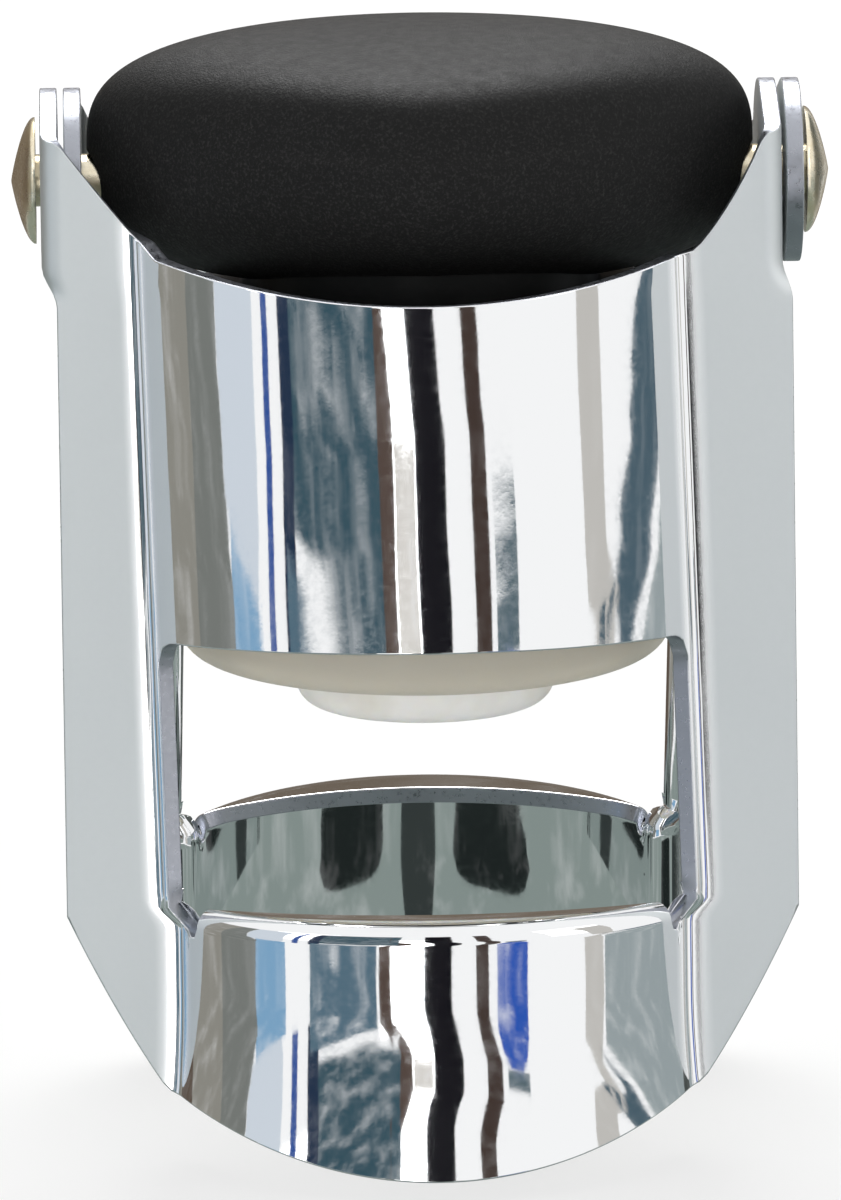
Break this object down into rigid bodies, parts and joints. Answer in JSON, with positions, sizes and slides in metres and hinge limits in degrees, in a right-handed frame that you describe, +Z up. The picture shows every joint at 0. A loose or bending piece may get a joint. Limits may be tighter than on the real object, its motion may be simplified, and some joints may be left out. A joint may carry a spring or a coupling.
{
  "type": "champagne stopper",
  "caption": "Sparkling-wine bottle stopper: rounded cap over a soft seal, with hinged chromed wings that hook under the bottle's lip.",
  "frame": {"origin": "middle of the plane of the bottle's lip, where the seal's underside rests on the glass", "axes": "+Z up along the bottle's axis, X along the pin, -Y towards the front wing"},
  "size_m": [0.047, 0.0447, 0.0635],
  "materials": {
    "cap_plastic": "moulded black plastic with a fine satin grain",
    "carrier_plastic": "moulded black plastic, plain",
    "seal_rubber": "translucent off-white soft rubber, satin",
    "pin_metal": "nickelled brass, polished",
    "wing_chrome": "bright chromium plate on pressed steel"
  },
  "bodies": {
    "root": {"cap": "cap_plastic", "carrier": "carrier_plastic", "seal": "seal_rubber", "rivet_pin": "pin_metal"},
    "front_wing": {"front_wing": "wing_chrome"},
    "rear_wing": {"rear_wing": "wing_chrome"}
  },
  "joints": [
    {"name": "front_wing_swing", "type": "hinge", "parent": "root", "child": "front_wing", "pos_m": [0, 0, 0.0278], "axis": [-1, 0, 0], "range_deg": [-4.5, 55]},
    {"name": "rear_wing_swing", "type": "hinge", "parent": "root", "child": "rear_wing", "pos_m": [0, 0, 0.0278], "axis": [1, 0, 0], "range_deg": [-2.5, 55]}
  ]
}
